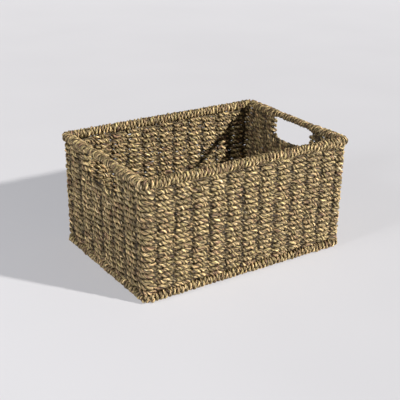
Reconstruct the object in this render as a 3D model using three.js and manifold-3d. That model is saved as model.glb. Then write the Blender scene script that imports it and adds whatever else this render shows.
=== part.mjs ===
// Rectangular seagrass storage basket with a hand hole in each end wall.
// Millimetres, +Z up, +X along the basket, standing on z = 0 with its middle over the origin.
// A welded wire cage carries the weave. The woven walls, base and borders are plain closed
// solids with a tunnel for every wire that runs inside them.
import * as THREE from "three";
import { mergeVertices } from "three/addons/utils/BufferGeometryUtils.js";
import Module from "manifold-3d";

const manifold = await Module();
manifold.setup();

// Driving sizes
const LENGTH = 352;
const WIDTH = 244;
const HEIGHT = 178;
const WALL_THICK = 11;
const BORDER_PROUD = 2.4;
const BORDER_HEIGHT = 14;
const BORDER_ROUND = 4.5;
const CORNER_RADIUS = 5;
const STAKE = 2.5;
const RING_WIRE = 3.6;
const HANDLE_THICK = 11.6;
const HOLE_WIDTH = 90;
const HOLE_SILL = 134;
const LONG_BAYS = 12;
const SHORT_BAYS = 7;
const BEND_RADIUS = 5;
const GAP = 0.3;
const WELD_GAP = 0.35;
const ARC_STEPS = 2;

// Worked-out places, all on the middle line of the wall unless said
const BORDER_THICK = WALL_THICK + 2 * BORDER_PROUD;
const MIDDLE_X = (LENGTH - BORDER_THICK) / 2;
const MIDDLE_Y = (WIDTH - BORDER_THICK) / 2;
const RIM_WIRE_Z = HEIGHT - HANDLE_THICK / 2;
const STAKE_TOP = RIM_WIRE_Z - RING_WIRE / 2 - WELD_GAP;
const BASE_BOTTOM = BORDER_PROUD;
const CROSS_STAKE_Z = BASE_BOTTOM + WALL_THICK / 2;
const LONG_STAKE_Z = CROSS_STAKE_Z + STAKE + 0.7;
const LONG_PITCH = (2 * MIDDLE_X) / LONG_BAYS;
const SHORT_PITCH = (2 * MIDDLE_Y) / SHORT_BAYS;
const SILL_WIRE_Z = HOLE_SILL - 4;
const SILL_STAKE_TOP = SILL_WIRE_Z - STAKE / 2 - WELD_GAP;
const SILL_HALF = 1.5 * SHORT_PITCH - STAKE / 2 - WELD_GAP;
// The base wire lies in the outside of the cross stakes' bends, half way round them.
const BASE_WIRE_REACH = (BEND_RADIUS + (STAKE + RING_WIRE) / 2 + WELD_GAP) * Math.SQRT1_2;
const BASE_WIRE_OUT = BASE_WIRE_REACH - BEND_RADIUS;
const BASE_WIRE_Z = CROSS_STAKE_Z + BEND_RADIUS - BASE_WIRE_REACH;
const POST_INSET = CORNER_RADIUS * (1 - Math.SQRT1_2);
const POST_BOTTOM = BASE_WIRE_Z + RING_WIRE / 2 + WELD_GAP;
const WALL_BOTTOM = BORDER_HEIGHT + GAP;
const WALL_TOP = HEIGHT - BORDER_HEIGHT - GAP;

const STRAW = new THREE.MeshStandardMaterial({ color: 0xb59c68, roughness: 0.9, metalness: 0 });
const OLIVE = new THREE.MeshStandardMaterial({ color: 0x8f8150, roughness: 0.9, metalness: 0 });
const DARK_STEEL = new THREE.MeshStandardMaterial({ color: 0x3a342e, roughness: 0.5, metalness: 0.6 });

const basket = new THREE.Group();
const wireCage = new THREE.Group();
const weave = new THREE.Group();
const borders = new THREE.Group();
basket.add(wireCage, weave, borders);

// ---- Solids -------------------------------------------------------------------------------

function toSolid(geometry) {
  const bare = geometry.clone();
  bare.deleteAttribute("normal");
  bare.deleteAttribute("uv");
  const merged = mergeVertices(bare, 1e-4);
  const vertProperties = new Float32Array(merged.attributes.position.array);
  const triVerts = new Uint32Array(merged.index.array);
  return new manifold.Manifold(new manifold.Mesh({ numProp: 3, vertProperties, triVerts }));
}

function toGeometry(solid) {
  const { vertProperties, triVerts } = solid.getMesh();
  const indexed = new THREE.BufferGeometry();
  indexed.setAttribute("position", new THREE.BufferAttribute(vertProperties, 3));
  indexed.setIndex(new THREE.BufferAttribute(triVerts, 1));
  const flat = indexed.toNonIndexed();
  flat.computeVertexNormals();
  return flat;
}

// An outline given thickness along its own Z, centred on z = 0, with its rims rounded off.
function thicken(outline, thickness, round, roundSegments = 1) {
  const geometry = new THREE.ExtrudeGeometry(outline, {
    depth: thickness - 2 * round,
    bevelThickness: round,
    bevelSize: round,
    bevelOffset: -round,
    bevelSegments: roundSegments,
    curveSegments: ARC_STEPS,
  });
  return geometry.translate(0, 0, round - thickness / 2);
}

// Cutting this much off each edge of a square bar leaves a regular octagon.
function octagonCut(diameter) {
  return diameter / (2 + Math.SQRT2);
}

function roundedRectangle(path, halfX, halfY, radius) {
  const x = halfX - radius;
  const y = halfY - radius;
  path.absarc(x, y, radius, 0, Math.PI / 2);
  path.absarc(-x, y, radius, Math.PI / 2, Math.PI);
  path.absarc(-x, -y, radius, Math.PI, 1.5 * Math.PI);
  path.absarc(x, -y, radius, 1.5 * Math.PI, 2 * Math.PI);
  return path;
}

// A flat loop of bar around the basket, on a rounded rectangle through the bar's middle.
function loopOutline(halfX, halfY, radius, width) {
  const half = width / 2;
  const outline = roundedRectangle(new THREE.Shape(), halfX + half, halfY + half, radius + half);
  const innerRadius = Math.max(radius - half, 0.5);
  outline.holes.push(roundedRectangle(new THREE.Path(), halfX - half, halfY - half, innerRadius));
  return outline;
}

// ---- Wire cage ----------------------------------------------------------------------------

const tunnels = [];

// Adds a wire, and notes the slightly fatter tunnel that the weave leaves for it.
// makeGeometry(extra) gives the wire with `extra` added to its diameter.
function addWire(name, makeGeometry, position, rotation = [0, 0, 0]) {
  const mesh = new THREE.Mesh(makeGeometry(0), DARK_STEEL);
  mesh.name = name;
  mesh.position.set(...position);
  mesh.rotation.set(...rotation);
  mesh.updateMatrix();
  wireCage.add(mesh);
  tunnels.push(toSolid(makeGeometry(2 * GAP).applyMatrix4(mesh.matrix)));
}

function ringWire(halfX, halfY, radius) {
  return (extra) => {
    const width = RING_WIRE + extra;
    return thicken(loopOutline(halfX, halfY, radius, width), width, octagonCut(width));
  };
}

// A straight wire along Z from its foot, longer at both ends by its clearance.
function straightWire(length) {
  return (extra) => {
    const across = STAKE + extra;
    const bar = new THREE.CylinderGeometry(across / 2, across / 2, length + extra, 8);
    return bar.rotateX(Math.PI / 2).translate(0, 0, length / 2);
  };
}

// A stake bent into a U: down one wall, across under the base and up the other wall.
function bentStake(halfSpan, top, bottom) {
  return (extra) => {
    const across = STAKE + extra;
    const inner = BEND_RADIUS - across / 2;
    const outer = BEND_RADIUS + across / 2;
    const bendX = halfSpan - BEND_RADIUS;
    const bendY = bottom + BEND_RADIUS;
    const tip = top + extra / 2;
    const outline = new THREE.Shape();
    outline.moveTo(-bendX - outer, tip);
    outline.lineTo(-bendX - outer, bendY);
    outline.absarc(-bendX, bendY, outer, Math.PI, 1.5 * Math.PI);
    outline.absarc(bendX, bendY, outer, 1.5 * Math.PI, 2 * Math.PI);
    outline.lineTo(bendX + outer, tip);
    outline.lineTo(bendX + inner, tip);
    outline.absarc(bendX, bendY, inner, 0, -0.5 * Math.PI, true);
    outline.absarc(-bendX, bendY, inner, -0.5 * Math.PI, -Math.PI, true);
    outline.lineTo(-bendX - inner, tip);
    return thicken(outline, across, octagonCut(across));
  };
}

function buildWireCage() {
  addWire("rim_wire", ringWire(MIDDLE_X, MIDDLE_Y, CORNER_RADIUS), [0, 0, RIM_WIRE_Z]);
  const baseWire = ringWire(
    MIDDLE_X + BASE_WIRE_OUT, MIDDLE_Y + BASE_WIRE_OUT, CORNER_RADIUS + BASE_WIRE_OUT);
  addWire("base_wire", baseWire, [0, 0, BASE_WIRE_Z]);

  for (const [end, sideX] of [["left", -1], ["right", 1]]) {
    for (const [face, sideY] of [["front", -1], ["back", 1]]) {
      const x = sideX * (MIDDLE_X - POST_INSET);
      const y = sideY * (MIDDLE_Y - POST_INSET);
      const post = straightWire(STAKE_TOP - POST_BOTTOM);
      addWire(`${face}_${end}_corner_post`, post, [x, y, POST_BOTTOM], [0, 0, Math.PI / 8]);
    }
    const sill = straightWire(2 * SILL_HALF);
    const foot = [sideX * MIDDLE_X, SILL_HALF, SILL_WIRE_Z];
    addWire(`${end}_sill_wire`, sill, foot, [Math.PI / 2, 0, 0]);
  }

  for (let i = 1; i < LONG_BAYS; i += 1) {
    const stake = bentStake(MIDDLE_Y, STAKE_TOP, CROSS_STAKE_Z);
    const x = -MIDDLE_X + i * LONG_PITCH;
    addWire(`cross_stake_${i}`, stake, [x, 0, 0], [Math.PI / 2, Math.PI / 2, 0]);
  }

  for (let i = 1; i < SHORT_BAYS; i += 1) {
    const y = -MIDDLE_Y + i * SHORT_PITCH;
    const underHole = Math.abs(y) < HOLE_WIDTH / 2;
    const top = underHole ? SILL_STAKE_TOP : STAKE_TOP;
    addWire(`long_stake_${i}`, bentStake(MIDDLE_X, top, LONG_STAKE_Z), [0, y, 0], [Math.PI / 2, 0, 0]);
  }
}

// ---- Weave and borders --------------------------------------------------------------------

// Adds a soft piece with the wires' tunnels cut out of it. With `keep`, only what lies inside
// that solid stays.
function addSoft(group, name, geometry, material, position, rotation = [0, 0, 0], keep = null) {
  const mesh = new THREE.Mesh(undefined, material);
  mesh.name = name;
  mesh.position.set(...position);
  mesh.rotation.set(...rotation);
  mesh.updateMatrix();
  let solid = toSolid(geometry.applyMatrix4(mesh.matrix)).subtract(allTunnels);
  if (keep) solid = solid.intersect(keep);
  mesh.geometry = toGeometry(solid).applyMatrix4(mesh.matrix.clone().invert());
  group.add(mesh);
}

// The front or back wall from above: its two outer corners are round, its inner face is flat.
function longWallOutline() {
  const halfX = MIDDLE_X + WALL_THICK / 2;
  const halfY = WALL_THICK / 2;
  const radius = CORNER_RADIUS + WALL_THICK / 2;
  const outline = new THREE.Shape();
  outline.moveTo(halfX, halfY);
  outline.lineTo(-halfX, halfY);
  outline.absarc(-halfX + radius, -halfY + radius, radius, Math.PI, 1.5 * Math.PI);
  outline.absarc(halfX - radius, -halfY + radius, radius, 1.5 * Math.PI, 2 * Math.PI);
  return outline;
}

function buildWalls() {
  const height = WALL_TOP - WALL_BOTTOM;
  const middleZ = (WALL_TOP + WALL_BOTTOM) / 2;
  const longWall = () => new THREE.ExtrudeGeometry(longWallOutline(), {
    depth: height, bevelEnabled: false, curveSegments: ARC_STEPS,
  }).translate(0, 0, -height / 2);
  addSoft(weave, "front_wall_weave", longWall(), STRAW, [0, -MIDDLE_Y, middleZ]);
  addSoft(weave, "back_wall_weave", longWall(), STRAW, [0, MIDDLE_Y, middleZ], [0, 0, Math.PI]);

  const endHalf = MIDDLE_Y - WALL_THICK / 2 - GAP;
  const lowHeight = HOLE_SILL - WALL_BOTTOM;
  const shoulderHeight = WALL_TOP - HOLE_SILL - GAP;
  const shoulderWidth = endHalf - HOLE_WIDTH / 2;
  const shoulderY = HOLE_WIDTH / 2 + shoulderWidth / 2;
  for (const [end, sideX] of [["left", -1], ["right", 1]]) {
    const x = sideX * MIDDLE_X;
    const lowWall = new THREE.BoxGeometry(WALL_THICK, 2 * endHalf, lowHeight);
    addSoft(weave, `${end}_wall_weave`, lowWall, STRAW, [x, 0, WALL_BOTTOM + lowHeight / 2]);
    for (const [face, sideY] of [["front", -1], ["back", 1]]) {
      const shoulder = new THREE.BoxGeometry(WALL_THICK, shoulderWidth, shoulderHeight);
      const place = [x, sideY * shoulderY, WALL_TOP - shoulderHeight / 2];
      addSoft(weave, `${face}_${end}_shoulder_weave`, shoulder, STRAW, place);
    }
  }
}

function buildBase() {
  const halfX = MIDDLE_X - BORDER_THICK / 2 - GAP;
  const halfY = MIDDLE_Y - BORDER_THICK / 2 - GAP;
  const sheet = new THREE.BoxGeometry(2 * halfX, 2 * halfY, WALL_THICK);
  addSoft(weave, "base_weave", sheet, STRAW, [0, 0, BASE_BOTTOM + WALL_THICK / 2]);
}

function borderRing() {
  const outline = loopOutline(MIDDLE_X, MIDDLE_Y, CORNER_RADIUS, BORDER_THICK);
  return thicken(outline, BORDER_HEIGHT, BORDER_ROUND, 3);
}

// The half of the rim border in front of the hand holes, or with side = 1 behind them.
function rimHalfSpace(side) {
  const depth = WIDTH;
  const block = new THREE.BoxGeometry(2 * LENGTH, depth, HEIGHT);
  return toSolid(block.translate(0, side * (HOLE_WIDTH / 2 + depth / 2), HEIGHT));
}

function buildBorders() {
  addSoft(borders, "base_border", borderRing(), OLIVE, [0, 0, BORDER_HEIGHT / 2]);
  const rimPlace = [0, 0, HEIGHT - BORDER_HEIGHT / 2];
  for (const [face, side] of [["front", -1], ["back", 1]]) {
    addSoft(borders, `${face}_rim_border`, borderRing(), OLIVE, rimPlace, [0, 0, 0], rimHalfSpace(side));
  }
  for (const [end, side] of [["left", -1], ["right", 1]]) {
    const radius = HANDLE_THICK / 2;
    const grip = new THREE.CylinderGeometry(radius, radius, HOLE_WIDTH - 2 * GAP, 20);
    addSoft(borders, `${end}_handle_wrap`, grip, OLIVE, [side * MIDDLE_X, 0, RIM_WIRE_Z]);
  }
}

buildWireCage();
const allTunnels = tunnels.reduce((sum, tunnel) => sum.add(tunnel));
buildWalls();
buildBase();
buildBorders();

export default basket;
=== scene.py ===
import math

import bpy
import numpy as np
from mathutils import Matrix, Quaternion, Vector


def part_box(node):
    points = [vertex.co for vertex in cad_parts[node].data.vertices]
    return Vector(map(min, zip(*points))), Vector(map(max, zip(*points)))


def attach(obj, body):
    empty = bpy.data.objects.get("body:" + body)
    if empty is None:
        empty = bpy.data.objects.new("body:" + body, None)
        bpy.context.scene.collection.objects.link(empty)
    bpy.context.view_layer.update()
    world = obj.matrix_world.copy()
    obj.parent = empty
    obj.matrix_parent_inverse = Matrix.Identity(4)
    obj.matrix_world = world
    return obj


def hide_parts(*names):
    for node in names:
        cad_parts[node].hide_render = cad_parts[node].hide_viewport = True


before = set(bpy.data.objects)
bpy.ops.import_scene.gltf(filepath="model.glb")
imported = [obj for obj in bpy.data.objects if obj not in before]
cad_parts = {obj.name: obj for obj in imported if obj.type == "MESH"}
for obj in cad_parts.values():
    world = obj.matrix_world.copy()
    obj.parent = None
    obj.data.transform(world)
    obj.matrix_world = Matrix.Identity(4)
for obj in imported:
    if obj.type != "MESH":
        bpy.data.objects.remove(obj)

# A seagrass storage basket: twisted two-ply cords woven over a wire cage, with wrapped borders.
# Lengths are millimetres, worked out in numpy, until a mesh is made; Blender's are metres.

MM = 0.001
SEED = 20

# Two-ply cord: each ply is a round strand, and the pair twists right-handed.
PLY_RADIUS = 1.95
PLY_OFFSET = 1.25  # from the cord's middle to the middle of a ply
BLADE_DENT = 0.05  # depth of the dents between a ply's blades, as a share of its reach
CORD_LEAD = 15.0  # length of one full twist
SECTION_POINTS = 12
RING_STEP = 1.16  # between the rings of points along a cord
CREVICE_SHADE = 0.70  # painted shade where one cord lies on the next
CREVICE_FROM = 0.70  # where that begins, as a share of the cord's half height
TONE_SPREAD = 0.06  # how much whole cords differ in colour
FIBRE_OFFSETS = 900.0  # each cord reads the materials' noise from its own place in this length

# Random wanders: wavelength, then size.
TWIST_WANDER = (28.0, 0.7)  # radians
PLY_WANDER = (9.0, 0.10)  # share of the radius
SIZE_WANDER = (32.0, 0.07)  # share of the radius
COURSE_SLIP = (40.0, 0.018)  # along the wall, in stake spacings
COURSE_SWAY = (22.0, 0.16)  # through the wall
COURSE_RISE = (24.0, 0.32)  # up and down
CROSSING_WANDER = (9.0, 0.6)  # share of the painted shade at crossings
SLACK_RISE = (20.0, 0.4)
SLACK_WANDER = (18.0, 0.3)  # share of the radius
WRAP_WANDER = (4.0, 0.02)  # share of the border's half size
ROW_WANDER = (30.0, 0.15)
WANDER_STRETCHES = (0.6, 0.8, 1.0, 1.4, 1.9)  # the waves that one wander adds up
WANDER_SUM = 1.2  # about how large they grow together

# Wall weave: courses over and under the stakes.
WEAVE_BOTTOM = 14.0
WEAVE_TOP = 164.0
COURSES = 37
COURSE_PITCH = (WEAVE_TOP - WEAVE_BOTTOM) / COURSES
CLOSED_COURSES = 30  # up to the sill the courses run all the way round
SILL_DROP = 4.0  # how far the last closed course is pressed down under the hand holes
SILL_COURSES = 8  # how many courses share that pressing
SILL_FADE = 6.0  # length over which the pressing fades beside the holes
DRIFT = 0.28  # slow rise and fall of the courses half way up the wall
DRIFT_WAVES = (2, 3, 5, 8, 13)  # waves round the basket
BAND_COURSES = 5  # courses in one piece
LOOP_RADIUS = 5.0  # of the walls' middle line at the corners
STAKE_RADIUS = 1.25
SWING = STAKE_RADIUS + 2.1  # how far a course passes to either side of the stakes
FLAT_AT_STAKE, FLAT_BETWEEN = 0.78, 0.90  # section scale through the wall
TALL_AT_STAKE, TALL_BETWEEN = 1.24, 0.98  # section scale along the wall's height
CROSSING_SHADE = 0.67  # painted shade, darker where the courses cross
DARKEST = 0.95
WALL_LEAN = 0.8  # how far the walls lean out at the rim
TURN_POINTS = 12  # on the half turn round the stake beside a hand hole
TURN_TALL = 0.8 * TALL_AT_STAKE

# Slack strands: loose grass that lies on the other side of each stake and fills the gaps, in painted
# shade.
SLACK_SWING = STAKE_RADIUS + 0.8
SLACK_SIZE = 0.56
SLACK_FLAT = 0.30
# The slack strands are darkened with painted shade in the gaps.
SLACK_SHADE = 0.72
SLACK_STRIDE = 2  # a slack strand has a ring at every second one of its course

# Borders and handles: a bundle of grass on the ring wire, wrapped with cord.
BORDER_HALF_WIDTH = 5.3  # to the middle of the wrapping cord
BORDER_HALF_HEIGHT = 4.4
HANDLE_HALF = 3.3
RIM_PITCH = 6.1
BASE_PITCH = 6.7
HANDLE_PITCH = 5.9
CORNER_CROWDING = 3.0  # wraps keep their spacing this far outside the middle line
RIM_PROUD = 1.3  # how far the winding sits outside the wire, along the rim
CORNER_PROUD = 1.4  # and how much more at the corners
CORNER_REACH = 16.0  # how far from a corner's middle that ends
HANDLE_BLEND = 8.0  # length over which the rim narrows to the handle
WRAP_SQUARENESS = 0.75  # 1 winds round a circle, 0 round a box
WRAP_FLAT = 0.85
BUNDLE_SPREAD = (0.42, 0.40)  # places of the inner strands, as shares of the border's half size
BUNDLE_STEP = 2.0
BUNDLE_SIZE = 0.95
# The bundle's strands under the wraps are darkened with painted shade.
BUNDLE_SHADE = 0.7

# Base weave: rows over and under the cross stakes.
ROW_PITCH = 4.075
ROW_REACH = 163.0
ROW_LEVEL = 7.9
ROW_SWING = 0.9 * SWING

# Camera and light, in metres.
CAMERA_AT = Vector((-0.6413, -0.9478, 0.5529))
CAMERA_AIM = Vector((-0.0071, 0.0, 0.0738))
CAMERA_ROLL = 0.0144  # radians
LENS = 73.4
SENSOR = 36.0
KEY_FROM, KEY_COLOUR, KEY_STRENGTH = (1.066, -1.44, 0.963), (1.0, 0.97, 0.92), 5.0
KEY_ANGLE = math.radians(2.5)
FILL_FROM, FILL_COLOUR, FILL_STRENGTH = (-1.9, -0.2, 1.0), (0.97, 0.98, 1.0), 19.0
FILL_SIZE = 0.5
WORLD_COLOUR = (0.95, 0.95, 1.0, 1.0)
WORLD_HEIGHTS = (0.10, 0.32)  # heights of a direction between which the surroundings dim
WORLD_STRENGTHS = (0.60, 0.09)  # below and above them
GLOW_COLOUR = (0.965, 0.96, 1.0, 1.0)
GLOW_DISTANCES = (0.5, 3.0)  # distances over which the paper's glow grows
GLOW_STRENGTHS = (0.34, 0.46)
FLOOR_REACH = 9.0
FLOOR_LEVEL = -0.0005

WALL_NODES = ("front_wall_weave", "back_wall_weave", "left_wall_weave", "right_wall_weave")
FRONT_SHOULDERS = ("front_left_shoulder_weave", "front_right_shoulder_weave")
BACK_SHOULDERS = ("back_left_shoulder_weave", "back_right_shoulder_weave")
FAR = 400.0  # beyond every wall
FINE_STEP = 0.05  # between places looked up along the loop
EVEN = 0.01  # within this, two places count as level

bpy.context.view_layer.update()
rng = np.random.default_rng(SEED)


# ---------------------------------------------------------------- the walls' plan

class Loop:
    """The walls' middle line from above: a rounded rectangle, anticlockwise from the front's middle."""

    def __init__(self, half_x, half_y, radius):
        inner_x, inner_y = half_x - radius, half_y - radius
        arc = math.pi * radius / 2
        steps = (0, inner_x, arc, 2 * inner_y, arc, 2 * inner_x, arc, 2 * inner_y, arc, inner_x)
        self.marks = np.cumsum(steps)
        self.length = self.marks[-1]
        self.radius = radius
        quarter = math.pi / 2
        self.headings = quarter * np.array((0, 0, 1, 1, 2, 2, 3, 3, 4, 4))
        self.inner_x = inner_x * np.array((0, 1, 1, 1, 1, -1, -1, -1, -1, 0))
        self.inner_y = inner_y * np.array((-1, -1, -1, 1, 1, 1, 1, -1, -1, -1))

    def at(self, along):
        """Points and outward directions at these distances along the line."""
        along = np.mod(along, self.length)
        heading = np.interp(along, self.marks, self.headings)
        outward = np.stack((np.sin(heading), -np.cos(heading), np.zeros_like(heading)), axis=-1)
        x = np.interp(along, self.marks, self.inner_x)
        y = np.interp(along, self.marks, self.inner_y)
        return np.stack((x, y, np.zeros_like(x)), axis=-1) + self.radius * outward, outward

    def corner_share(self, along):
        """1 in the corners' arcs and 0 on the straights."""
        heading_after = np.interp(np.mod(along + 0.5, self.length), self.marks, self.headings)
        heading_before = np.interp(np.mod(along - 0.5, self.length), self.marks, self.headings)
        turn = np.mod(heading_after - heading_before, 2 * math.pi)
        return np.clip(turn * self.radius, 0, 1)

    def near_corner(self, along):
        """1 at the middle of each corner, falling to 0 a little way along the straights."""
        middles = (self.marks[[1, 3, 5, 7]] + self.marks[[2, 4, 6, 8]]) / 2
        half = self.length / 2
        gap = np.abs(np.mod(along[:, None] - middles + half, self.length) - half)
        return smooth(1 - gap.min(axis=1) / CORNER_REACH)

    def nearest(self, x, y):
        """The distance along the line that is nearest to a point."""
        along = np.arange(0, self.length, FINE_STEP)
        points, _ = self.at(along)
        return along[np.argmin(np.hypot(points[:, 0] - x, points[:, 1] - y))]


def middle(node):
    """The middle of a CAD node's box, in millimetres."""
    low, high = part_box(node)
    return (low + high) / (2 * MM)


def wall_loop():
    """The loop that the rim wire follows, read from the frame."""
    low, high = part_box("rim_wire")
    wire = (high.z - low.z) / MM
    return Loop(high.x / MM - wire / 2, high.y / MM - wire / 2, LOOP_RADIUS)


def stake_places(loop):
    """Where each stake stands along the loop, in order."""
    places = []
    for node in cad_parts:
        spot = middle(node)
        if node.startswith("cross_stake_"):
            places += [loop.nearest(spot.x, -FAR), loop.nearest(spot.x, FAR)]
        elif node.startswith("long_stake_"):
            places += [loop.nearest(-FAR, spot.y), loop.nearest(FAR, spot.y)]
        elif node.endswith("_corner_post"):
            places.append(loop.nearest(spot.x, spot.y))
    return np.sort(places)


# ---------------------------------------------------------------- cords

def mix(low, high, share):
    """A value between two others."""
    return low + (high - low) * share


def smooth(value):
    """An even step from 0 to 1 with soft ends."""
    value = np.clip(value, 0, 1)
    return value * value * (3 - 2 * value)


def spread(count, total, closed):
    """Even places from 0 to a total, where a closed ring leaves its last place out."""
    return np.arange(count) * total / (count - (0 if closed else 1))


def wobble(length, wander, along, closed=True):
    """Smooth random wander along a cord, with the same value at both ends of a closed one."""
    wavelength, size = wander
    total = np.zeros_like(along)
    for stretch in WANDER_STRETCHES:
        cycles = length / (wavelength * stretch)
        if closed:
            cycles = max(1, round(cycles))
        phase = rng.uniform(0, 2 * math.pi)
        total += rng.uniform(0.5, 1.0) * np.sin(2 * math.pi * cycles * along / length + phase)
    return total * size / WANDER_SUM


class Cords:
    """Gathers the surfaces of many cords, and makes one mesh of them."""

    def __init__(self):
        self.points, self.quads, self.triangles = [], [], []
        self.fibre, self.hollow, self.tone, self.shade = [], [], [], []
        self.count = 0

    def add(self, path, outward, closed, size=1.0, flat=1.0, tall=1.0, shade=0.0):
        """One twisted cord along a path; outward is the direction its flat side faces."""
        tangent = path_tangents(path, closed)
        outward = outward - np.sum(outward * tangent, axis=1, keepdims=True) * tangent
        outward /= np.linalg.norm(outward, axis=1, keepdims=True)
        across = np.cross(tangent, outward)
        along, length = path_distances(path, closed)
        size, flat, tall, shade = (np.broadcast_to(value, along.shape)[:, None]
                                   for value in (size, flat, tall, shade))
        phi, reach, hollow = cord_section()
        psi = phi + cord_twist(along, length, closed)[:, None]
        radius = reach * cord_lumps(phi, along, length, closed) * size
        points = path[:, None, :]
        points = points + (radius * flat * np.cos(psi))[..., None] * outward[:, None, :]
        points = points + (radius * tall * np.sin(psi))[..., None] * across[:, None, :]
        self.points.append(points.reshape(-1, 3))
        fibre = np.empty(points.shape)
        fibre[..., 0] = along[:, None] + rng.uniform(0, FIBRE_OFFSETS)
        fibre[..., 1] = np.cos(phi)
        fibre[..., 2] = np.sin(phi)
        self.fibre.append(fibre.reshape(-1, 3))
        self.hollow.append(np.broadcast_to(hollow, radius.shape).reshape(-1))
        self.tone.append(np.full(radius.size, rng.normal(0, TONE_SPREAD)))
        # Painted shade where the cord's top and bottom lie against the next course, added to the shade
        # passed in.
        crevice = CREVICE_SHADE * smooth((np.abs(np.sin(psi)) - CREVICE_FROM) / (1 - CREVICE_FROM))
        self.shade.append((1 - (1 - shade) * (1 - crevice)).reshape(-1))
        self.skin(len(path), closed)

    def skin(self, rings, closed):
        """Faces between a cord's rings, and a fan over each open end."""
        ring = np.arange(rings if closed else rings - 1)
        after = (ring + 1) % rings
        j = np.arange(SECTION_POINTS)
        k = (j + 1) % SECTION_POINTS
        here, there = ring[:, None] * SECTION_POINTS, after[:, None] * SECTION_POINTS
        quads = np.stack((here + j, here + k, there + k, there + j), axis=-1).reshape(-1, 4)
        self.quads.append(quads + self.count)
        if not closed:
            last = (rings - 1) * SECTION_POINTS
            fan = np.arange(1, SECTION_POINTS - 1)
            start = np.stack((np.zeros_like(fan), fan + 1, fan), axis=-1)
            end = np.stack((np.full_like(fan, last), last + fan, last + fan + 1), axis=-1)
            self.triangles.append(np.concatenate((start, end)) + self.count)
        self.count += rings * SECTION_POINTS

    def piece(self, name, material, slot, replaced):
        """The finished Blender object, riding with the basket."""
        points = np.concatenate(self.points) * MM
        quads = np.concatenate(self.quads)
        corners, sizes = [quads.reshape(-1)], [np.full(len(quads), 4)]
        if self.triangles:
            triangles = np.concatenate(self.triangles)
            corners.append(triangles.reshape(-1))
            sizes.append(np.full(len(triangles), 3))
        corners, sizes = np.concatenate(corners), np.concatenate(sizes)
        mesh = bpy.data.meshes.new(name)
        mesh.vertices.add(len(points))
        mesh.vertices.foreach_set("co", points.reshape(-1))
        mesh.loops.add(len(corners))
        mesh.loops.foreach_set("vertex_index", corners)
        mesh.polygons.add(len(sizes))
        mesh.polygons.foreach_set("loop_start", np.cumsum(sizes) - sizes)
        mesh.update(calc_edges=True)
        mesh.shade_smooth()
        add_attribute(mesh, "fibre", "FLOAT_VECTOR", "vector", np.concatenate(self.fibre))
        add_attribute(mesh, "hollow", "FLOAT", "value", np.concatenate(self.hollow))
        add_attribute(mesh, "tone", "FLOAT", "value", np.concatenate(self.tone))
        # The shade attribute carries painted shade: crossings, crevices, slack strands and bundle
        # strands.
        add_attribute(mesh, "shade", "FLOAT", "value", np.concatenate(self.shade))
        mesh.materials.append(material)
        obj = bpy.data.objects.new(name, mesh)
        bpy.context.scene.collection.objects.link(obj)
        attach(obj, "root")
        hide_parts(*replaced)


def add_attribute(mesh, name, kind, field, values):
    """A per-vertex attribute, which the materials read."""
    attribute = mesh.attributes.new(name, kind, "POINT")
    attribute.data.foreach_set(field, np.ascontiguousarray(values, dtype=np.float32).reshape(-1))


def cord_section():
    """Round a cord: angles, distances from its middle to the surface, and groove depth for painted
    shade.
    """
    phi = 2 * math.pi * np.arange(SECTION_POINTS) / SECTION_POINTS
    reach = PLY_OFFSET * np.abs(np.cos(phi))
    reach = reach + np.sqrt(PLY_RADIUS ** 2 - (PLY_OFFSET * np.sin(phi)) ** 2)
    blades = np.abs(np.sin(3 * phi))
    return phi, reach * (1 - BLADE_DENT * blades), 0.5 * blades + 0.5 * np.sin(phi) ** 4


def cord_twist(along, length, closed):
    """The angle through which the cord has turned; a closed one makes a whole number of turns."""
    turns = length / CORD_LEAD
    if closed:
        turns = round(turns)
    twist = 2 * math.pi * turns * along / length + (0 if closed else rng.uniform(0, math.pi))
    return twist + wobble(length, TWIST_WANDER, along, closed)


def cord_lumps(phi, along, length, closed):
    """How the two plies swell and shrink along the cord, each in its own way."""
    first = wobble(length, PLY_WANDER, along, closed)[:, None]
    second = wobble(length, PLY_WANDER, along, closed)[:, None]
    side = (1 + np.cos(phi)) / 2
    lumps = 1 + wobble(length, SIZE_WANDER, along, closed)[:, None]
    return lumps + first * side + second * (1 - side)


def path_distances(path, closed):
    """Distances along a path, and its whole length."""
    steps = np.linalg.norm(np.diff(path, axis=0, append=path[:1]), axis=1)
    along = np.concatenate(([0.0], np.cumsum(steps[:-1])))
    return along, along[-1] + (steps[-1] if closed else 0.0)


def path_tangents(path, closed):
    """Unit tangents by central differences."""
    if closed:
        tangent = np.roll(path, -1, axis=0) - np.roll(path, 1, axis=0)
    else:
        tangent = np.gradient(path, axis=0)
    return tangent / np.linalg.norm(tangent, axis=1, keepdims=True)


# ---------------------------------------------------------------- wall weave

def swing(phase):
    """How far through the wall a course is at each place: 1 outside a stake, -1 inside it."""
    wave = np.cos(math.pi * phase)
    return wave * (1.5 - 0.5 * wave ** 2)


def at_stake(phase):
    """1 beside a stake and 0 midway between two."""
    return np.cos(math.pi * phase) ** 2


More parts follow.
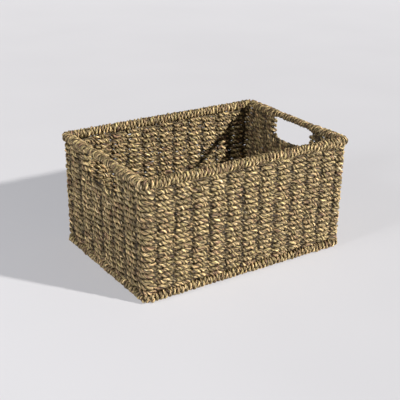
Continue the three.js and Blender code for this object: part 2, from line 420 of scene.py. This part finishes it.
class Wall:
    """Places courses on the loop and its stakes."""

    def __init__(self, loop, stakes):
        self.loop = loop
        self.stakes = stakes
        count = len(stakes)
        self.marks = np.concatenate((stakes - loop.length, stakes, stakes + loop.length))
        self.numbers = np.arange(-count, 2 * count)
        self.drift = rng.uniform(0, 2 * math.pi, len(DRIFT_WAVES))
        self.end_x = np.max(loop.at(np.arange(0, loop.length, 1.0))[0][:, 0])

    def phase(self, along):
        """Places along the loop, counted in stakes."""
        return np.interp(along, self.marks, self.numbers)

    def height(self, course, along):
        """A course's height: evenly spaced, with a gentle wander, and pressed down under the holes."""
        base = WEAVE_BOTTOM + COURSE_PITCH * (course + 0.5)
        share = math.sin(math.pi * (course + 0.5) / COURSES)
        turn = 2 * math.pi * along / self.loop.length
        drift = sum(np.sin(n * turn + p) for n, p in zip(DRIFT_WAVES, self.drift))
        height = base + DRIFT * share * drift
        if course < CLOSED_COURSES:
            pressed = max(0, course - CLOSED_COURSES + SILL_COURSES) / (SILL_COURSES - 1)
            height = height - SILL_DROP * pressed * self.under_hole(self.loop.at(along)[0])
        return height

    def lean(self, height):
        """How far out the wall's middle line lies at each height."""
        return WALL_LEAN * smooth(height / WEAVE_TOP)

    def under_hole(self, spots):
        """1 under the hand holes, falling to 0 at the stakes beside them."""
        edge = middle("long_stake_5").y
        on_end = np.abs(spots[:, 0]) > self.end_x - EVEN
        return smooth((edge - np.abs(spots[:, 1])) / SILL_FADE) * on_end

    def strand(self, course, along):
        """Points, outward directions, section scales and painted shade of one course."""
        spots, outward = self.loop.at(along)
        phase = self.phase(along) + wobble(self.loop.length, COURSE_SLIP, along)
        depth = SWING * swing(phase + course)
        depth = depth + wobble(self.loop.length, COURSE_SWAY, along)
        height = self.height(course, along) + wobble(self.loop.length, COURSE_RISE, along)
        path = spots + (depth + self.lean(height))[:, None] * outward
        path[:, 2] = height
        share = at_stake(phase)
        flat = mix(FLAT_BETWEEN, FLAT_AT_STAKE, share)
        tall = mix(TALL_BETWEEN, TALL_AT_STAKE, share)
        # Painted shade in the valleys where the courses cross, midway between stakes.
        shade = CROSSING_SHADE * (1 + wobble(self.loop.length, CROSSING_WANDER, along))
        return path, outward, flat, tall, np.clip(shade * smooth(1 - 2.0 * share), 0, DARKEST)

    def slack(self, course, along):
        """A course's slack strand, on the other side of each stake: points and outward directions."""
        spots, outward = self.loop.at(along)
        height = self.height(course, along) + wobble(self.loop.length, SLACK_RISE, along)
        depth = self.lean(height) - SLACK_SWING * swing(self.phase(along) + course)
        path = spots + depth[:, None] * outward
        path[:, 2] = height
        return path, outward

    def stake_number(self, side, y):
        """The stake nearest to a place on an end wall; side is 1 on the right and -1 on the left."""
        return int(np.argmin(np.abs(self.stakes - self.loop.nearest(side * FAR, y))))


def slack_strand(cords, wall, course, along, closed):
    """The loose strand that goes with a course, darkened with painted shade."""
    path, outward = wall.slack(course, along)
    size = SLACK_SIZE * (1 + wobble(wall.loop.length, SLACK_WANDER, along))
    cords.add(path, outward, closed, size=size, flat=SLACK_FLAT, shade=SLACK_SHADE)


def closed_course(cords, wall, course):
    """One ring of cord right round the basket."""
    rings = int(wall.loop.length / RING_STEP)
    along = spread(rings, wall.loop.length, True)
    path, outward, flat, tall, shade = wall.strand(course, along)
    cords.add(path, outward, True, flat=flat, tall=tall, shade=shade)
    slack_strand(cords, wall, course, along[::SLACK_STRIDE], True)


def shoulder_courses(cords, wall, first_stake, last_stake):
    """One cord to and fro between the two stakes beside the hand holes, turning round each."""
    start, end = wall.marks[first_stake], wall.marks[last_stake]
    rings = int((end - start) / RING_STEP)
    parts = []
    for course in range(CLOSED_COURSES, COURSES):
        forward = (course - CLOSED_COURSES) % 2 == 0
        along = np.linspace(start, end, rings)
        path, _, flat, tall, shade = wall.strand(course, along)
        parts.append([row if forward else row[::-1] for row in (path, flat, tall, shade)])
        slack_strand(cords, wall, course, along[1:-1:SLACK_STRIDE], False)
        if course < COURSES - 1:
            parts.append(turn_back(wall, parts[-1][0][-1], course, end if forward else start, forward))
    path, flat, tall, shade = (np.concatenate(rows) for rows in zip(*parts))
    tangent = path_tangents(path, False)
    outward = np.cross(tangent, np.array((0.0, 0.0, 1.0)))
    cords.add(path, outward, False, flat=flat, tall=tall, shade=shade)


def turn_back(wall, before, course, place, forward):
    """A half turn round the end stake, rising to the next course."""
    spot, outward = wall.loop.at(np.array([place]))
    onward = np.cross(np.array((0.0, 0.0, 1.0)), outward[0]) * (1 if forward else -1)
    lead_in = np.dot(before - spot[0], outward[0])
    side = math.copysign(1, lead_in)
    angle = np.linspace(0, math.pi, TURN_POINTS)[1:-1]
    low, high = (wall.height(number, np.array([place]))[0] for number in (course, course + 1))
    path = spot + abs(lead_in) * (side * np.cos(angle)[:, None] * outward
                                  + np.sin(angle)[:, None] * onward)
    path[:, 2] = before[2] + (high - low) * smooth(angle / math.pi)
    ones = np.ones(len(angle))
    return path, FLAT_AT_STAKE * ones, TURN_TALL * ones, 0 * ones


def wall_weave(wall, material):
    """The woven walls, as bands of closed courses and the shoulders beside the hand holes."""
    for number, first in enumerate(range(0, CLOSED_COURSES, BAND_COURSES), start=1):
        band = Cords()
        for course in range(first, min(first + BAND_COURSES, CLOSED_COURSES)):
            closed_course(band, wall, course)
        band.piece(f"wall_weave_band_{number}", material, "seagrass_weave", WALL_NODES)
    count = len(wall.stakes)
    near, far = middle("long_stake_2").y, middle("long_stake_5").y
    front, back = Cords(), Cords()
    shoulder_courses(front, wall, wall.stake_number(-1, near), count + wall.stake_number(1, near))
    shoulder_courses(back, wall, count + wall.stake_number(1, far), count + wall.stake_number(-1, far))
    front.piece("front_shoulders_woven_cord", material, "seagrass_weave",
                (*FRONT_SHOULDERS, "front_wall_weave"))
    back.piece("back_shoulders_woven_cord", material, "seagrass_weave",
               (*BACK_SHOULDERS, "back_wall_weave"))


# ---------------------------------------------------------------- borders and handles

def wrap_phase(loop, along, pitch):
    """The wrapping cord's turns, spaced by pitch a little outside the loop's corners."""
    stretch = 1 + CORNER_CROWDING / loop.radius * loop.corner_share(along)
    return np.cumsum(stretch / pitch) * (along[1] - along[0])


def wrapped_bundle(name, node, loop, ends, profile, pitch, material, closed=False):
    """A bundle of grass along part of the loop, and the cord wrapped round it."""
    cords = Cords()
    fine = np.arange(*ends, FINE_STEP)
    turns = wrap_phase(loop, fine, pitch)
    if closed:
        turns *= round(turns[-1]) / turns[-1]
    half_wide, half_high, _, _ = profile(fine)
    around = math.pi * np.mean(half_wide + half_high)
    wraps = spread(int(turns[-1] * around / RING_STEP), turns[-1], closed)
    along = np.interp(wraps, turns, fine)
    half_wide, half_high, height, proud = profile(along)
    out, up = rounded_box(2 * math.pi * wraps, WRAP_SQUARENESS)
    spots, outward = loop.at(along)
    loose = 1 + wobble(loop.length, WRAP_WANDER, along)
    path = spots + (proud + half_wide * out * loose)[:, None] * outward
    path[:, 2] = height + half_high * up * loose
    facing = out[:, None] * outward
    facing[:, 2] = up
    cords.add(path, facing, closed, flat=WRAP_FLAT)
    bundle(cords, loop, ends, profile, closed)
    cords.piece(name, material, "seagrass_border", (node,))


def rounded_box(angle, power):
    """A superellipse, from a circle at power 1 towards a box at power 0."""
    out, up = np.cos(angle), -np.sin(angle)
    return np.sign(out) * np.abs(out) ** power, np.sign(up) * np.abs(up) ** power


def bundle(cords, loop, ends, profile, closed):
    """Four plain strands side by side under the wraps, darkened with painted shade."""
    start, end = ends
    along = start + spread(int((end - start) / BUNDLE_STEP), end - start, closed)
    half_wide, half_high, height, proud = profile(along)
    spots, outward = loop.at(along)
    aside, above = BUNDLE_SPREAD
    for side, lift in ((-1, -1), (-1, 1), (1, -1), (1, 1)):
        path = spots + (proud + side * half_wide * aside)[:, None] * outward
        path[:, 2] = height + lift * half_high * above
        cords.add(path, outward, closed, size=BUNDLE_SIZE, shade=BUNDLE_SHADE)


def borders(loop, material):
    """The two halves of the rim, the two handles and the base border."""
    rim_middle = middle("front_rim_border").z
    handle_middle = middle("left_handle_wrap").z
    base_middle = middle("base_border").z
    hole_edge = -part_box("front_rim_border")[1].y / MM

    def rim_profile(along):
        """Half width, half height, height and reach outside the wire, along the rim."""
        spots, _ = loop.at(along)
        on_end = np.abs(spots[:, 0]) > np.max(np.abs(spots[:, 0])) - EVEN
        narrow = smooth(0.5 + (hole_edge - np.abs(spots[:, 1])) / HANDLE_BLEND) * on_end
        half_wide = mix(BORDER_HALF_WIDTH, HANDLE_HALF, narrow)
        half_high = mix(BORDER_HALF_HEIGHT, HANDLE_HALF, narrow)
        proud = RIM_PROUD + CORNER_PROUD * loop.near_corner(along)
        return half_wide, half_high, mix(rim_middle, handle_middle, narrow), proud

    def base_profile(along):
        """The same along the base."""
        ones = np.ones_like(along)
        return BORDER_HALF_WIDTH * ones, BORDER_HALF_HEIGHT * ones, base_middle * ones, 0 * ones

    right_front, right_back = loop.nearest(FAR, -hole_edge), loop.nearest(FAR, hole_edge)
    left_back, left_front = loop.nearest(-FAR, hole_edge), loop.nearest(-FAR, -hole_edge)
    front_ends, back_ends = (left_front, right_front + loop.length), (right_back, left_back)
    right_ends, left_ends = (right_front, right_back), (left_back, left_front)
    for name, node, ends, pitch in (
            ("front_rim_winding", "front_rim_border", front_ends, RIM_PITCH),
            ("back_rim_winding", "back_rim_border", back_ends, RIM_PITCH),
            ("right_handle_winding", "right_handle_wrap", right_ends, HANDLE_PITCH),
            ("left_handle_winding", "left_handle_wrap", left_ends, HANDLE_PITCH)):
        wrapped_bundle(name, node, loop, ends, rim_profile, pitch, material)
    wrapped_bundle("base_winding", "base_border", loop, (0, loop.length), base_profile, BASE_PITCH,
                   material, closed=True)


# ---------------------------------------------------------------- base weave

def base_weave(material):
    """Rows along the basket's length, over and under the cross stakes."""
    stakes = np.sort([middle(node).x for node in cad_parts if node.startswith("cross_stake_")])
    pitch = stakes[1] - stakes[0]
    rows = round(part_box("base_weave")[1].y / MM / ROW_PITCH)
    for half, numbers in (("front", range(-rows, 0)), ("back", range(0, rows))):
        cords = Cords()
        for row in numbers:
            x = np.linspace(-ROW_REACH, ROW_REACH, int(2 * ROW_REACH / RING_STEP))
            phase = (x - stakes[0]) / pitch
            y = ROW_PITCH * (row + 0.5) + wobble(2 * ROW_REACH, ROW_WANDER, x + ROW_REACH)
            z = ROW_LEVEL + ROW_SWING * swing(phase + row)
            path = np.stack((x, y, z), axis=-1)
            up = np.broadcast_to(np.array((0.0, 0.0, 1.0)), path.shape)
            share = at_stake(phase)
            cords.add(path, up, False, flat=mix(FLAT_BETWEEN, FLAT_AT_STAKE, share),
                      tall=mix(TALL_BETWEEN, TALL_AT_STAKE, share))
            # A slack strand under each row, darkened with painted shade.
            loose = path[::SLACK_STRIDE].copy()
            loose[:, 2] = ROW_LEVEL - SLACK_SWING * swing(phase[::SLACK_STRIDE] + row)
            cords.add(loose, up[::SLACK_STRIDE], False, size=SLACK_SIZE, flat=SLACK_FLAT,
                      shade=SLACK_SHADE)
        cords.piece(f"base_woven_rows_{half}", material, "seagrass_weave", ("base_weave",))


# ---------------------------------------------------------------- materials

class Shader:
    """A short way to add and link nodes."""

    def __init__(self, name):
        self.material = bpy.data.materials.new(name)
        self.material.use_nodes = True
        self.tree = self.material.node_tree
        self.principled = self.tree.nodes["Principled BSDF"]

    def node(self, kind, inputs=None, **settings):
        """A new node; an input is a value or the socket that it comes from."""
        made = self.tree.nodes.new(kind)
        for key, value in settings.items():
            setattr(made, key, value)
        for key, value in (inputs or {}).items():
            if isinstance(value, bpy.types.NodeSocket):
                self.tree.links.new(value, made.inputs[key])
            else:
                made.inputs[key].default_value = value
        return made

    def attribute(self, name, output="Fac"):
        """A mesh attribute."""
        return self.node("ShaderNodeAttribute", attribute_name=name).outputs[output]

    def math(self, operation, first, second, clamp=False):
        """Arithmetic on two numbers."""
        return self.node("ShaderNodeMath", {0: first, 1: second}, operation=operation,
                         use_clamp=clamp).outputs[0]

    def ramp(self, factor, stops):
        """A colour ramp with these places and colours."""
        made = self.node("ShaderNodeValToRGB", {"Fac": factor})
        elements = made.color_ramp.elements
        while len(elements) < len(stops):
            elements.new(0.5)
        for element, (place, colour) in zip(elements, stops):
            element.position = place
            element.color = (*colour, 1.0)
        return made.outputs["Color"]

    def noise(self, vector, scale, detail=2.0, roughness=0.5):
        """Fractal noise."""
        return self.node("ShaderNodeTexNoise", {"Vector": vector, "Scale": scale, "Detail": detail,
                                                "Roughness": roughness}).outputs["Fac"]

    def stretched(self, vector, scale):
        """Coordinates scaled along each axis."""
        return self.node("ShaderNodeVectorMath", {0: vector, 1: scale}, operation="MULTIPLY").outputs[0]

    def mix_colour(self, share, first, second, blend="MIX"):
        """A mix of two colours; input 0 is the share, and inputs 6 and 7 are the colours."""
        made = self.node("ShaderNodeMix", data_type="RGBA", blend_type=blend)
        for number, value in ((0, share), (6, first), (7, second)):
            socket = made.inputs[number]
            if isinstance(value, bpy.types.NodeSocket):
                self.tree.links.new(value, socket)
            else:
                socket.default_value = value if isinstance(value, float) else (*value, 1.0)
        return made.outputs[2]

    def finish(self, **values):
        """The material, once these inputs of its surface shader are set."""
        for key, value in values.items():
            socket = self.principled.inputs[key.replace("_", " ")]
            if isinstance(value, bpy.types.NodeSocket):
                self.tree.links.new(value, socket)
            else:
                socket.default_value = value
        return self.material


CREAM = (0.86, 0.74, 0.50)
STRAW = (0.66, 0.50, 0.27)
SAND = (0.56, 0.42, 0.24)
OLIVE = (0.33, 0.29, 0.12)
TAN = (0.46, 0.31, 0.16)
BROWN = (0.20, 0.11, 0.05)
PLUM = (0.23, 0.14, 0.10)
# Near black that painted shade darkens the colour towards.
PAINTED_SHADE_BLACK = (0.022, 0.015, 0.008)

# Colour ramps: patches of colour, then the darkening and lightening of strokes and of thin blades.
PATCH_STOPS = ((0.0, BROWN), (0.16, PLUM), (0.30, TAN), (0.44, STRAW), (0.58, OLIVE), (0.72, SAND),
               (0.86, STRAW), (1.0, CREAM))
STROKE_STOPS = ((0.30, (0.26, 0.24, 0.21)), (0.49, (1.14, 1.12, 1.07)), (0.68, (2.06, 2.06, 2.08)))
BLADE_STOPS = ((0.36, (0.18, 0.15, 0.12)), (0.47, (0.95, 0.92, 0.88)), (0.66, (1.60, 1.56, 1.46)))
PATCH_CONTRAST = 2.6
# Painted shade in the grooves between plies and blades.
GROOVE_DARKNESS = 0.96


def seagrass(name):
    """Dried seagrass: each ply has its own patches of straw, olive and brown, fine streaks and painted
    shade.
    """
    s = Shader(name)
    fibre = s.attribute("fibre", "Vector")
    patch = s.noise(s.stretched(fibre, (0.05, 1.1, 0.4)), 1.0, 3.0, 0.6)
    patch = s.math("ADD", s.math("MULTIPLY", s.math("SUBTRACT", patch, 0.5), PATCH_CONTRAST), 0.5)
    colour = s.ramp(s.math("ADD", patch, s.attribute("tone"), clamp=True), PATCH_STOPS)
    stroke = s.noise(s.stretched(fibre, (0.16, 1.6, 0.8)), 1.0, 2.0, 0.6)
    colour = s.mix_colour(1.0, colour, s.ramp(stroke, STROKE_STOPS), "MULTIPLY")
    blade = s.noise(s.stretched(fibre, (0.11, 2.6, 2.6)), 1.0, 3.0, 0.6)
    colour = s.mix_colour(1.0, colour, s.ramp(blade, BLADE_STOPS), "MULTIPLY")
    # Painted shade: grooves between plies and blades, and the shade attribute, darken the colour
    # towards near black.
    hollow = {"Value": s.attribute("hollow"), "From Min": 0.16, "From Max": 0.68}
    groove = s.node("ShaderNodeMapRange", hollow, interpolation_type="SMOOTHSTEP").outputs[0]
    dark = s.math("MAXIMUM", s.math("MULTIPLY", groove, GROOVE_DARKNESS), s.attribute("shade"))
    colour = s.mix_colour(dark, colour, PAINTED_SHADE_BLACK)
    grain = s.noise(s.stretched(fibre, (0.35, 6.0, 6.0)), 1.0, 3.0, 0.6)
    bump = s.node("ShaderNodeBump", {"Height": grain, "Strength": 0.8, "Distance": 0.0008})
    rough = s.node("ShaderNodeMapRange", {"Value": blade, "To Min": 0.75, "To Max": 0.45})
    return s.finish(Base_Color=colour, Roughness=rough.outputs[0], Normal=bump.outputs[0],
                    Specular_IOR_Level=0.4)


def cage_wire(name):
    """Dark satin coated steel wire."""
    s = Shader(name)
    place = s.node("ShaderNodeTexCoord").outputs["Object"]
    grain = s.noise(place, 900.0, 3.0, 0.6)
    colour = s.ramp(grain, ((0.3, (0.012, 0.010, 0.008)), (0.7, (0.035, 0.028, 0.020))))
    bump = s.node("ShaderNodeBump", {"Height": grain, "Strength": 0.2, "Distance": 0.0002})
    return s.finish(Base_Color=colour, Roughness=0.45, Normal=bump.outputs[0])


def studio_paper(name):
    """Pale paper, glowing so that the shadows on it stay faint, and more so further away."""
    s = Shader(name)
    place = s.node("ShaderNodeTexCoord").outputs["Object"]
    grain = s.noise(place, 3.0, 2.0, 0.5)
    colour = s.ramp(grain, ((0.3, (0.41, 0.41, 0.43)), (0.7, (0.43, 0.43, 0.45))))
    reach = s.node("ShaderNodeVectorMath", {0: place}, operation="LENGTH").outputs["Value"]
    glow = s.node("ShaderNodeMapRange", {"Value": reach, **map_range(GLOW_DISTANCES, GLOW_STRENGTHS)})
    return s.finish(Base_Color=colour, Roughness=0.9, Specular_IOR_Level=0.0,
                    Emission_Color=GLOW_COLOUR, Emission_Strength=glow.outputs[0])


def map_range(before, after):
    """A Map Range node's limits: a range of values, and the range that it becomes."""
    return dict(zip(("From Min", "From Max", "To Min", "To Max"), (*before, *after)))


# ---------------------------------------------------------------- studio

def lamp(kind, name, place, colour, strength, **settings):
    """A lamp aimed at the basket's middle, hidden from the camera."""
    data = bpy.data.lights.new(name, kind)
    data.energy = strength
    data.color = colour
    for key, value in settings.items():
        setattr(data, key, value)
    light = bpy.data.objects.new(name, data)
    light.location = place
    light.rotation_euler = (CAMERA_AIM - Vector(place)).to_track_quat("-Z", "Y").to_euler()
    light.visible_camera = False
    bpy.context.scene.collection.objects.link(light)


def surroundings():
    """A pale room: bright near the horizon and below it, dim overhead."""
    world = bpy.data.worlds.new("studio_world")
    world.use_nodes = True
    tree = world.node_tree
    place = tree.nodes.new("ShaderNodeTexCoord")
    split = tree.nodes.new("ShaderNodeSeparateXYZ")
    fade = tree.nodes.new("ShaderNodeMapRange")
    fade.interpolation_type = "SMOOTHSTEP"
    for key, value in map_range(WORLD_HEIGHTS, WORLD_STRENGTHS).items():
        fade.inputs[key].default_value = value
    tree.links.new(place.outputs["Generated"], split.inputs[0])
    tree.links.new(split.outputs["Z"], fade.inputs["Value"])
    background = tree.nodes["Background"]
    background.inputs["Color"].default_value = WORLD_COLOUR
    tree.links.new(fade.outputs[0], background.inputs["Strength"])
    bpy.context.scene.world = world


def studio():
    """Pale floor, a key light from the front right, a fill from the left, and pale surroundings."""
    mesh = bpy.data.meshes.new("studio_floor")
    corners = [(x * FLOOR_REACH, y * FLOOR_REACH, 0) for x, y in ((-1, -1), (1, -1), (1, 1), (-1, 1))]
    mesh.from_pydata(corners, [], [(0, 1, 2, 3)])
    mesh.materials.append(studio_paper("studio_paper"))
    floor = bpy.data.objects.new("studio_floor", mesh)
    floor.location.z = FLOOR_LEVEL
    bpy.context.scene.collection.objects.link(floor)
    lamp("SUN", "key", KEY_FROM, KEY_COLOUR, KEY_STRENGTH, angle=KEY_ANGLE)
    lamp("AREA", "fill", FILL_FROM, FILL_COLOUR, FILL_STRENGTH, size=FILL_SIZE, shape="DISK")
    surroundings()
    bpy.context.scene.view_settings.view_transform = "Standard"


def camera():
    """The camera, looking down at the basket's front left corner."""
    data = bpy.data.cameras.new("camera")
    data.lens = LENS
    data.sensor_width = SENSOR
    made = bpy.data.objects.new("camera", data)
    made.location = CAMERA_AT
    aimed = (CAMERA_AIM - CAMERA_AT).to_track_quat("-Z", "Y")
    made.rotation_euler = (aimed @ Quaternion((0.0, 0.0, 1.0), CAMERA_ROLL)).to_euler()
    bpy.context.scene.collection.objects.link(made)
    bpy.context.scene.camera = made


# ---------------------------------------------------------------- build

def wires(material):
    """The material of the cage's CAD wires."""
    for node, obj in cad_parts.items():
        if node.endswith(("_wire", "_post")) or "_stake_" in node:
            for material_slot in obj.material_slots:
                material_slot.material = material


def basket():
    """All the pieces, in the order of their random draws."""
    loop = wall_loop()
    wall = Wall(loop, stake_places(loop))
    weave = seagrass("seagrass_weave")
    border = seagrass("seagrass_border")
    wall_weave(wall, weave)
    borders(loop, border)
    base_weave(weave)
    wires(cage_wire("cage_wire"))


camera()
studio()
basket()
